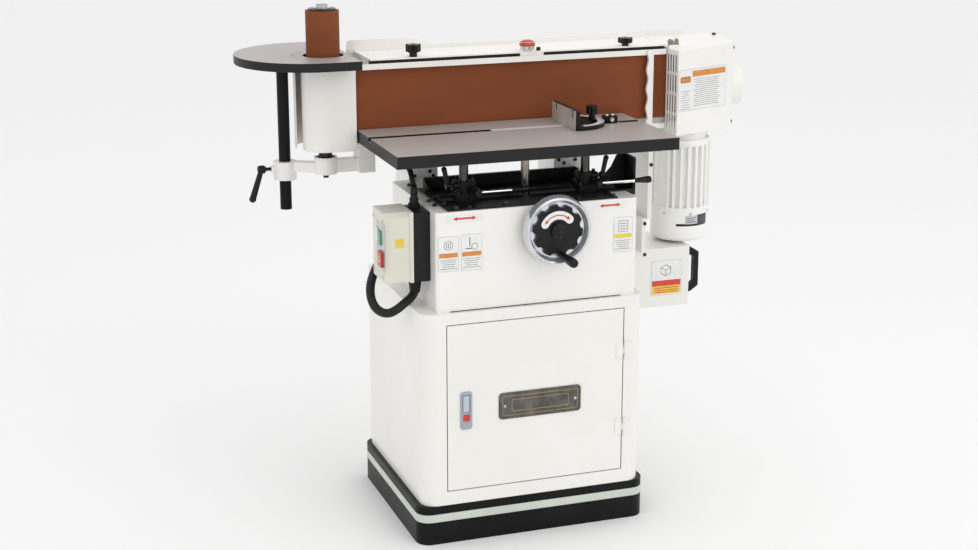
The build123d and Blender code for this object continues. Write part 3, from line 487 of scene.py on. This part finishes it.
# ------------------------------------------------------- door: name plate
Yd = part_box("cabinet_door")
DOOR_Y = -231.0
dm = frame_of((11, DOOR_Y, 310.5), (1, 0, 0), (0, 0, 1))
W, H = 196.0, 62.0
plate("door_badge_rim", rrect(0, 0, W, H, 9), 2.4, dm, BRONZE, "cabinet_door", 0.8)
plate("door_badge_field", rrect(0, 0, W - 9, H - 9, 6), 0.6, dm, BRONZE, "cabinet_door", 0.5, 2.2)
for k, (w, h) in enumerate(((W - 16, H - 16), (W - 60, H - 34))):
    outer, inner = rrect(0, 0, w, h, 4), rrect(0, 0, w - 2.4, h - 2.4, 3)
    ring_plate("door_badge_line%d" % k, outer, inner, 0.5, dm, GILT, "cabinet_door", 2.75)
for sx in (-1, 1):
    lathe("door_badge_screw", [(3.4, 2.6), (3.4, 3.6), (2.2, 4.2), (0, 4.3)], dm @ Matrix.Translation((sx * 84 * M, 0, 0)), STEEL, "cabinet_door", 20)

# ------------------------------------------------------ generic label pads


def label(tag, origin, w, h, body, u=(1, 0, 0), v=(0, 0, 1), band=None, band_y=0.0, band_h=6.0, lines=(), icon=None, ink=None, base=None):
    mt = frame_of(origin, u, v)
    r = min(2.5, w * 0.08)
    plate(tag + "_edge", rrect(0, 0, w + 1.8, h + 1.8, r + 0.9), 0.3, mt, EDGEINK, body, 0.08)
    plate(tag + "_pad", rrect(0, 0, w, h, r), 0.25, mt, base or IVORY, body, 0.08, 0.22)
    if band:
        plate(tag + "_band", rrect(0, band_y, w * 0.93, band_h, 1.0), 0.2, mt, band, body, 0.0, 0.42)
    if lines:
        many(tag + "_lines", [bar(x, y, lw, lh) for x, y, lw, lh in lines], 0.12, mt, ink or GREYINK, body, 0.42)
    if icon:
        many(tag + "_icon", icon, 0.14, mt, INK_AND_SHADE, body, 0.42)
    return mt


HY = -220.0
for tag, x, z, w, aw in (("left", -161.2, 744.6, 86, 53), ("right", 177.7, 747.0, 86, 51)):
    mt = frame_of((x, HY, z), (1, 0, 0), (0, 0, 1))
    plate("arrow_%s_pad" % tag, rrect(0, 0, w, 18, 2.5), 0.3, mt, IVORY, "frame", 0.1)
    many("arrow_%s_mark" % tag, [double_arrow(aw, 9.5, 4.2)], 0.15, mt, LABELRED, "frame", 0.28)


def ringpts(r, t, n=24):
    return [[(r * math.cos(a0), r * math.sin(a0)), ((r + t) * math.cos(a0), (r + t) * math.sin(a0)),
             ((r + t) * math.cos(a1), (r + t) * math.sin(a1)), (r * math.cos(a1), r * math.sin(a1))]
            for a0, a1 in [(2 * math.pi * i / n, 2 * math.pi * (i + 1) / n) for i in range(n)]]


def shift(shapes, dx, dy):
    return [[(x + dx, y + dy) for x, y in s] for s in shapes]


def sheet_lines(w, top, n, step):
    return [(0, top - step * i, w * (0.86 - 0.09 * (i * 5 % 4)), 1.3) for i in range(n)]


mt = label("hand_sheet", (-198.6, HY, 668), 45, 76, "frame", band=ORANGE, band_y=-3, band_h=10, lines=sheet_lines(45, -13.5, 5, 4.8))
ring_plate("hand_sheet_ring", circle_pts(0, 19, 10.5, 36), circle_pts(0, 19, 9.2, 36), 0.14, mt, GREYINK, "frame", 0.45)
many("hand_sheet_mark", [bar(-4.5, 19, 1.6, 12), bar(0, 19, 1.6, 12), bar(4.5, 19, 1.6, 12)], 0.14, mt, GREYINK, "frame", 0.45)
mt = label("glove_sheet", (-145.8, HY, 668), 47, 79, "frame", band=ORANGE, band_y=-3, band_h=10, lines=sheet_lines(47, -13.5, 5, 4.8))
ring_plate("glove_sheet_ring", circle_pts(7, 13, 7.5, 30), circle_pts(7, 13, 6.2, 30), 0.14, mt, GREYINK, "frame", 0.45)
many("glove_sheet_mark", [bar(-4, 24, 2.0, 20), bar(-6, 9, 16, 1.8)], 0.14, mt, INK_AND_SHADE, "frame", 0.45)
mt = label("square_sheet", (210, HY, 678), 45, 78, "frame", band=YELLOW, band_y=-3, band_h=9, lines=sheet_lines(45, -13.5, 5, 4.8))
ring_plate("square_sheet_frame", rrect(0, 19, 23, 26, 3), rrect(0, 19, 20.4, 23.4, 2), 0.14, mt, GREYINK, "frame", 0.45)
many("square_sheet_mark", [bar(0, 25, 15, 1.8), bar(0, 19, 15, 1.8), bar(0, 13, 15, 1.8)], 0.14, mt, GREYINK, "frame", 0.45)

# painted shade: a dark strip standing in for the shaded gap under the housing's front flange
# painted shade strip, not a real part
plate("housing_gap_painted_shade", bar(5.3, 537.9, 402, 2.0), 0.5, frame_of((0, HY, 0), (1, 0, 0), (0, 0, 1)), INK_AND_SHADE, "frame", 0.1)

# ---------------------------------------------------------------- latch
lt = frame_of((-163.5, -234.0, 310), (1, 0, 0), (0, 0, 1))
plate("latch_paddle", rrect(0, 16, 15, 38, 2.0), 1.6, lt, PADDLE, "cabinet_door", 0.5, -2.6)
# painted shade: dark strips along the paddle's sides and top stand in for the shaded gaps round it
many("latch_gap_painted_shade", [bar(-8.7, 16, 0.9, 40), bar(8.7, 16, 0.9, 40), bar(0, 36.4, 18.3, 0.9)], 0.25, lt, INK_AND_SHADE, "cabinet_door", -0.02)

# ---------------------------------------------------------- handwheel arc
wm = frame_of((41, -257.0, 709), (1, 0, 0), (0, 0, 1))


def arc_band(r0, r1, a0, a1, n=24):
    return circle_pts(0, 0, r1, n, a0, a1) + circle_pts(0, 0, r0, n, a0, a1)[::-1]


def arc_pad(r0, r1, a0, a1, n=24):
    m, h, c0, c1 = (r0 + r1) / 2, (r1 - r0) / 2, math.radians(a0), math.radians(a1)
    end = circle_pts(m * math.cos(c1), m * math.sin(c1), h, 12, a1, a1 + 180)
    start = circle_pts(m * math.cos(c0), m * math.sin(c0), h, 12, a0 - 180, a0)
    return circle_pts(0, 0, r1, n, a0, a1) + end[1:-1] + circle_pts(0, 0, r0, n, a0, a1)[::-1] + start[1:-1]


plate("wheel_arc_pad", arc_pad(25.5, 44, 42, 152), 0.5, wm, IVORY, "handwheel", 0.1)
shapes = [arc_band(33.5, 36.0, 55, 139, 16)]
for a, s in ((139, 1), (55, -1)):
    a = math.radians(a)
    c, t = Vector((math.cos(a), math.sin(a))), Vector((-math.sin(a), math.cos(a))) * s
    shapes.append([tuple(c * 30.3), tuple(c * 34.75 + t * 9), tuple(c * 39.2)])
for i, s in enumerate(shapes):
    many("wheel_arc_mark%d" % i, [s], 0.2, wm, LABELRED, "handwheel", 0.45)
ring_plate("wheel_hub_ring", circle_pts(0, 0, 15.4, 48), circle_pts(0, 0, 14.3, 48), 0.5, wm, BLUED, "handwheel", 7.9)
lathe("wheel_hub_cap", [(0, 11.5), (9, 11.2), (12.5, 9.5), (13.5, 8.2)][::-1], wm, PLASTIC, "handwheel", 40)
lathe("wheel_nut", [(5.2, 11.0), (5.2, 14.5), (4.2, 15.3), (0, 15.3)], wm, BLUED, "handwheel", 6)

# ------------------------------------------------------------------ switch
sm = frame_of((-331, -150, 682), (0, -1, 0), (0, 0, 1))
# the face sheet, open where the two buttons go in
many("switch_face_pad", [
    [(-27, 34.6), (39, 34.6)] + circle_pts(35, 49, 4, 6, 0, 90) + circle_pts(-23, 49, 4, 6, 90, 180),
    bar(-16.8, 18, 20.4, 33.2), bar(25.8, 18, 26.4, 33.2),
    bar(6, -4, 66, 10.8),
    bar(-14.8, -27, 24.4, 35.2), bar(32.8, -27, 12.4, 35.2),
    circle_pts(-23, -49, 4, 6, 180, 270) + circle_pts(35, -49, 4, 6, 270, 360) + [(39, -44.6), (-27, -44.6)],
], 0.35, sm, FELT, "frame")
plate("switch_lamp", rrect(-20, 22, 15, 30, 2), 3.0, sm, IVORY, "frame", 0.8)
plate("switch_side_pad", rrect(0, 0, 20, 20, 2), 0.5, frame_of((-296, -180, 690), (1, 0, 0), (0, 0, 1)), YELLOW, "frame", 0.12)
many("start_mark", [bar(0, 0, 1.8, 11)], 0.3, frame_of((-334.5, -153, 700), (0, -1, 0), (0, 0, 1)), IVORY, "start_button", -0.05)
many("stop_mark", ringpts(5.0, 1.8), 0.3, frame_of((-337.5, -162, 655), (0, -1, 0), (0, 0, 1)), IVORY, "stop_button", -0.05)
for k, (y, z) in enumerate(((-171, 616), (-101, 616), (-171, 738), (-101, 738))):
    lathe("switch_screw%d" % k, [(3.6, 0), (3.6, 0.8), (2.4, 1.5), (0, 1.6)], frame_of((-331, y, z), (0, -1, 0), (0, 0, 1)), STEEL, "frame", 18)
for tag, z0, z1, r in (("top", 757, 763, 12.6), ("top2", 770, 776, 10.6), ("low", 588, 598, 16.8)):
    lathe("gland_" + tag, [(r - 2, z0 - 0.2), (r, z0 + 0.8), (r, z1 - 0.8), (r - 2, z1 + 0.2)], frame_of((-246, -125, 0), (1, 0, 0), (0, 1, 0)), PLASTIC, "frame", 6)

# ------------------------------------------------ drive cover label and motor
u = Vector((152, 55, 0)).normalized()
face = lambda t, z: (466 + 152 * t, 57 + 55 * t, z)
# one panel across the guard's slanted front, a narrow column and a wide one
ctr = face(0.515, 939)
lines = [(15, 24 - 4.9 * i, 94 - (i * 7 % 5) * 5, 1.2) for i in range(14)] + [(-58, -2 - 5.4 * i, 34 - (i * 3 % 4) * 4, 1.2) for i in range(9)]
label("cover_sheet", ctr, 160, 98, "frame", u=tuple(u), lines=lines)
mt = frame_of(ctr, tuple(u), (0, 0, 1))
plate("cover_sheet_band", rrect(21, 38, 112, 14, 1.0), 0.25, mt, ORANGE, "frame", 0.0, 0.46)
plate("cover_sheet_seal", rrect(-58, 26, 34, 15, 3), 0.3, mt, ORANGE, "frame", 0.0, 0.46)
ring_plate("cover_sheet_seal_line", rrect(-58, 26, 30, 11, 2.5), rrect(-58, 26, 28, 9, 2), 0.1, mt, INK_AND_SHADE, "frame", 0.75)


def curved_plate(name, cx, cy, r, a0, a1, z0, z1, t, mat, body, n=16):
    """A thin name plate bent round an upright cylinder; angles from +X."""
    bm = bmesh.new()
    cols = []
    for i in range(n + 1):
        a = math.radians(a0 + (a1 - a0) * i / n)
        c, sn = math.cos(a), math.sin(a)
        cols.append([bm.verts.new(((cx + rr_ * c) * M, (cy + rr_ * sn) * M, z * M)) for rr_, z in ((r, z0), (r + t, z0), (r + t, z1), (r, z1))])
    for p_, q_ in zip(cols, cols[1:]):
        for k in range(4):
            bm.faces.new((p_[k], p_[(k + 1) % 4], q_[(k + 1) % 4], q_[k]))
    bm.faces.new(cols[0][::-1])
    bm.faces.new(cols[-1])
    return obj_from_bm(bm, name, mat, body, smooth=False)


curved_plate("motor_plate", 524, 151.3, 70.3, -121, -50, 600, 606, 0.6, BLUED, "frame")
curved_plate("motor_plate_silver", 524, 151.3, 70.3, -103, -74, 605, 626, 0.7, FELT, "frame")
curved_plate("motor_plate_dark", 524, 151.3, 70.3, -76, -48, 602, 627, 0.8, INK_AND_SHADE, "frame")
for k in range(3):
    curved_plate("motor_plate_line%d" % k, 524, 151.3, 71.0, -100, -80 - (k % 2) * 3, 621 - 5 * k - 1.4, 621 - 5 * k, 0.2, INK_AND_SHADE, "frame")
for a in (-146, -92, -38):
    c, sn = math.cos(math.radians(a)), math.sin(math.radians(a))
    lathe("fan_screw%d" % (-a), [(3.6, 0.0), (3.6, 1.0), (2.4, 2.0), (0, 2.1)], frame_of((524 + 70.2 * c, 151.3 + 70.2 * sn, 630.5), (-sn, c, 0), (0, 0, 1)), STEEL, "frame", 18)
iso = []
for a, b in (((-13, -6), (0, -13)), ((0, -13), (13, -6)), ((13, -6), (13, 8)), ((13, 8), (0, 15)), ((0, 15), (-13, 8)), ((-13, 8), (-13, -6)),
             ((0, 1), (0, -13)), ((0, 1), (13, 8)), ((0, 1), (-13, 8))):
    d = Vector((b[0] - a[0], b[1] - a[1])).normalized()
    nrm = Vector((-d.y, d.x)) * 0.6
    iso.append([(a[0] - nrm.x, a[1] - nrm.y), (b[0] - nrm.x, b[1] - nrm.y), (b[0] + nrm.x, b[1] + nrm.y), (a[0] + nrm.x, a[1] + nrm.y)])
label("lower_sheet", (456, 70, 478), 80, 86, "frame", icon=shift(iso, -2, 18))
mt = frame_of((456, 70, 478), (1, 0, 0), (0, 0, 1))
plate("lower_sheet_yellow", bar(0, -23, 77, 34), 0.2, mt, YELLOW, "frame", 0.0, 0.42)
plate("lower_sheet_red", bar(0, -13, 77, 14), 0.2, mt, LABELRED, "frame", 0.0, 0.6)
many("lower_sheet_lines", [bar(0, -25, 66, 2.0), bar(0, -31, 66, 2.0), bar(0, -36, 60, 2.0)], 0.2, mt, LABELRED, "frame", 0.6)

# ---------------------------------------------------------- red tracking cap
lathe("tracking_cap", [(0, 1071.9), (9, 1071.0), (14, 1069.0), (17.2, 1065.4), (18.9, 1061.6), (18.9, 1058.4), (18.0, 1057.7)][::-1],
      frame_of((107, 119, 0), (1, 0, 0), (0, 1, 0)), RED, "tracking_knob", 48)

# ------------------------------------------------------------- mitre scale
mm = frame_of((172, 5, 897.0), (1, 0, 0), (0, 1, 0))
ticks = []
for d in range(-75, 76, 5):
    a = math.radians(d)
    r1 = 76.0
    r0 = 66.5 if d % 15 == 0 else 70.5
    c, t = Vector((math.cos(a), math.sin(a))), Vector((-math.sin(a), math.cos(a))) * 0.45
    ticks.append([tuple(c * r0 - t), tuple(c * r1 - t), tuple(c * r1 + t), tuple(c * r0 + t)])
plate("mitre_scale_arc", arc_band(62.5, 77.2, -88, 88, 44), 0.35, mm, BRIGHT_AND_HIGHLIGHT, "mitre_head", 0.1)
many("mitre_scale", ticks, 0.12, mm, INK_AND_SHADE, "mitre_head", 0.33)
plate("mitre_pointer", [(67, -0.8), (82.5, -3), (82.5, 3), (67, 0.8)], 1.0, mm, CHROME, "mitre_bar", 0.2, 0.9)

# ------------------------------------------------------------ held leads


def lead(name, pts, d, node, mat=RUBBER_AND_SHADE):
    cu = bpy.data.curves.new(name, "CURVE")
    cu.dimensions = "3D"
    s = cu.splines.new("NURBS")
    s.points.add(len(pts) - 1)
    for p, q in zip(s.points, pts):
        p.co = (q[0] * M, q[1] * M, q[2] * M, 1)
    s.order_u = 3
    s.use_endpoint_u = True
    s.resolution_u = 12
    cu.bevel_depth = d / 2 * M
    cu.bevel_resolution = 6
    cu.use_fill_caps = True
    o = bpy.data.objects.new(name, cu)
    bpy.context.scene.collection.objects.link(o)
    cu.materials.append(mat)
    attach(o, "frame")
    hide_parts(node)
    return o


lead("motor_cable", [(-246, -125, 783), (-246, -125, 801), (-248, -117, 821), (-246, -96, 833), (-243, -50, 835.5), (-240, 8, 834.5),
                     (-238, 62, 835), (-236.5, 102, 832.5), (-235.5, 125, 831.5), (-235, 139, 838), (-235, 140, 851)], 12.0, "motor_lead")
lead("conduit", [(-246, -125, 584), (-246, -125, 569.5), (-249.8, -127.8, 559.5), (-259.5, -134.5, 551.5), (-276, -142, 543), (-294, -145, 531.5),
                 (-311, -140, 522.5), (-326, -129, 524), (-337, -115, 534), (-341, -100, 553), (-337, -84, 575), (-323, -67, 600), (-301, -52, 626),
                 (-272, -36, 650), (-245, -20, 666), (-222, -12, 672)], 20.0, "supply_conduit", SHEATH)

lathe("conduit_relief", [(10.3, 562), (11.6, 564), (12.6, 572), (13.8, 581.8), (13.8, 583)], frame_of((-246, -125, 0), (1, 0, 0), (0, 1, 0)), PLASTIC, "frame", 32)
lathe("lead_relief", [(8.2, 784), (8.2, 786), (7.3, 796), (6.4, 806)], frame_of((-246, -125, 0), (1, 0, 0), (0, 1, 0)), PLASTIC, "frame", 28)

# --------------------------------------------------- lock levers' bright rods
for tag, x0, xk in (("left", -112.5, -34.0), ("right", 172.0, 259.0)):
    mt = frame_of((x0 + 9, -165, 785.5), (0, 1, 0), (0, 0, 1))
    L = xk - x0 - 9
    lathe(tag + "_rod", [(3.4, 0), (4.1, 0.4), (4.1, L - 4), (5.0, L - 3.4), (5.0, L - 0.4), (3.4, L)], mt, CHROME, tag + "_lock_lever", 28)

# ------------------------------------------------- spindle nut; painted shade in the gap over the belt
lathe("spindle_nut", [(7.5, 1160.2), (12.6, 1160.4), (12.9, 1161.2), (12.9, 1168.0), (11.2, 1169.0), (0, 1169.2)],
      frame_of((-372.5, 151.3, 0), (1, 0, 0), (0, 1, 0)), STEEL, "idler_spindle", 6)
lathe("spindle_washer", [(12.9, 1159.9), (20.0, 1160.0), (20.0, 1161.6), (19.4, 1162.2), (12.9, 1162.2)],
      frame_of((-372.5, 151.3, 0), (1, 0, 0), (0, 1, 0)), STEEL, "idler_spindle", 40)
# painted shade: black strips fill the gap under the top cover's front, standing in for its shade; the white tracking
# tongue breaks them
plate("cover_gap_painted_shade_left", bar(-93.5, 1036, 356, 12.6), 3.0, frame_of((0, 112.5, 0), (1, 0, 0), (0, 0, 1)), RUBBER_AND_SHADE, "frame", 0.2)
plate("cover_gap_painted_shade_right", bar(298, 1036, 306, 12.6), 3.0, frame_of((0, 112.5, 0), (1, 0, 0), (0, 0, 1)), RUBBER_AND_SHADE, "frame", 0.2)
plate("tracking_tongue", bar(115, 1036, 58, 12.6), 4.0, frame_of((0, 112.5, 0), (1, 0, 0), (0, 0, 1)), WHITE, "frame", 0.6)
lathe("tracking_bolt", [(5.5, 1045.9), (5.5, 1052.5), (4.4, 1053.6), (0, 1053.8)], frame_of((134, 117, 0), (1, 0, 0), (0, 1, 0)), BLUED, "frame", 6)

# -------------------------------------------------- mitre gauge's bright face
fz0, fz1 = 887.6, 931.7
fence = [(-68.6, fz0), (77.6, fz0), (77.6, fz1), (55.3, fz1), (55.3, 917.6), (48.7, 917.6), (48.7, fz1), (-46.7, fz1), (-46.7, 914.6),
         (-53.3, 914.6), (-53.3, fz1), (-68.6, fz1)]
plate("mitre_face", [(-y, z) for y, z in fence][::-1], 0.5, frame_of((155, 0, 0), (0, -1, 0), (0, 0, 1)), FENCE, "mitre_head", 0.15)
plate("mitre_stop_jacket", rrect(269, 5, 31, 24.8, 1.2), 16.4, frame_of((0, 0, 887.0), (1, 0, 0), (0, 1, 0)), CASTB, "mitre_bar", 0.8)
for k, x in enumerate((262, 276)):
    lathe("mitre_stop_screw%d" % k, [(4.2, 16.2), (4.4, 17.6), (3.4, 19.2), (0, 19.6)], frame_of((x, 5, 887), (1, 0, 0), (0, 1, 0)), CHROME, "mitre_bar", 24)
# painted highlight: a brighter sheet over the bar's top face stands in for the light it catches
plate("mitre_bar_painted_highlight", bar(133.5, 5, 312, 17.8), 0.15, frame_of((0, 0, 886.98), (1, 0, 0), (0, 1, 0)), BRIGHT_AND_HIGHLIGHT, "mitre_bar", 0.0)

# ------------------------------------------- bolts on the uprights' fronts
for k, (x, z) in enumerate(((-168.7, 767.7), (-132.2, 776.2), (-124.2, 765.4), (190, 781), (203, 772), (232, 779))):
    lathe("upright_bolt%d" % k, [(4.4, -0.4), (4.6, 2.4), (3.4, 3.6), (0, 3.8)], frame_of((x, 122, z), (1, 0, 0), (0, 0, 1)), BLUED, "frame", 6)

# ------------------------------------------------ winged toggle on the latch
plate("latch_wing", [(-13, 0), (-14, 4), (-10, 9), (-6, 8.5), (-3.5, 5.5), (0, 6.5), (3.5, 5.5), (6, 9), (10, 9.5), (14, 4.5), (13, 0)], 5.0,
      frame_of((474, 109.5, 1049.6), (1, 0, 0), (0, 0, 1)), AGED, "cover_latch", 0.9)
lathe("latch_pin", [(2.4, 0), (2.9, 0.3), (2.9, 9.2), (2.2, 9.8), (0, 9.9)], frame_of((474, 111.9, 1053.5), (1, 0, 0), (0, 0, 1)), STEEL, "cover_latch", 20)

# --------------------------------------------------- crank handle's end cap
lathe("crank_cap", [(4.6, -1.2), (6.6, -1.0), (7.0, 0.8), (5.4, 2.6), (0, 3.2)], frame_of((50.5, -331, 652), (1, 0, 0), (0, 0, 1)), PLASTIC, "crank_handle", 28)

# ------------------------------------------------------------------- stage
bm = bmesh.new()
bmesh.ops.create_grid(bm, x_segments=2, y_segments=2, size=14)
me = bpy.data.meshes.new("floor")
bm.to_mesh(me)
bm.free()
floor = bpy.data.objects.new("floor", me)
bpy.context.scene.collection.objects.link(floor)
floor.location.z = -0.0002
fm, nt, b = new_mat("floor_white")
b.inputs["Base Color"].default_value = (0.90, 0.90, 0.90, 1)
b.inputs["Roughness"].default_value = 0.7
me.materials.append(fm)

world = bpy.data.worlds.new("studio")
world.use_nodes = True
world.node_tree.nodes["Background"].inputs["Color"].default_value = (1, 1, 1, 1)
world.node_tree.nodes["Background"].inputs["Strength"].default_value = 0.96
bpy.context.scene.world = world


def area(name, loc, target, size, power, size_y=None):
    l = bpy.data.lights.new(name, "AREA")
    l.energy = power
    l.size = size
    if size_y:
        l.shape = "RECTANGLE"
        l.size_y = size_y
    o = bpy.data.objects.new(name, l)
    bpy.context.scene.collection.objects.link(o)
    o.location = loc
    o.rotation_euler = (Vector(target) - Vector(loc)).to_track_quat("-Z", "Y").to_euler()
    return o


area("key", (2.2, -4.2, 3.4), (0, 0, 0.6), 2.6, 26)
area("fill", (-4.2, -2.2, 2.2), (0, 0, 0.6), 2.4, 3)
area("top", (0.2, -0.6, 4.2), (0, 0, 0.5), 3.0, 16)
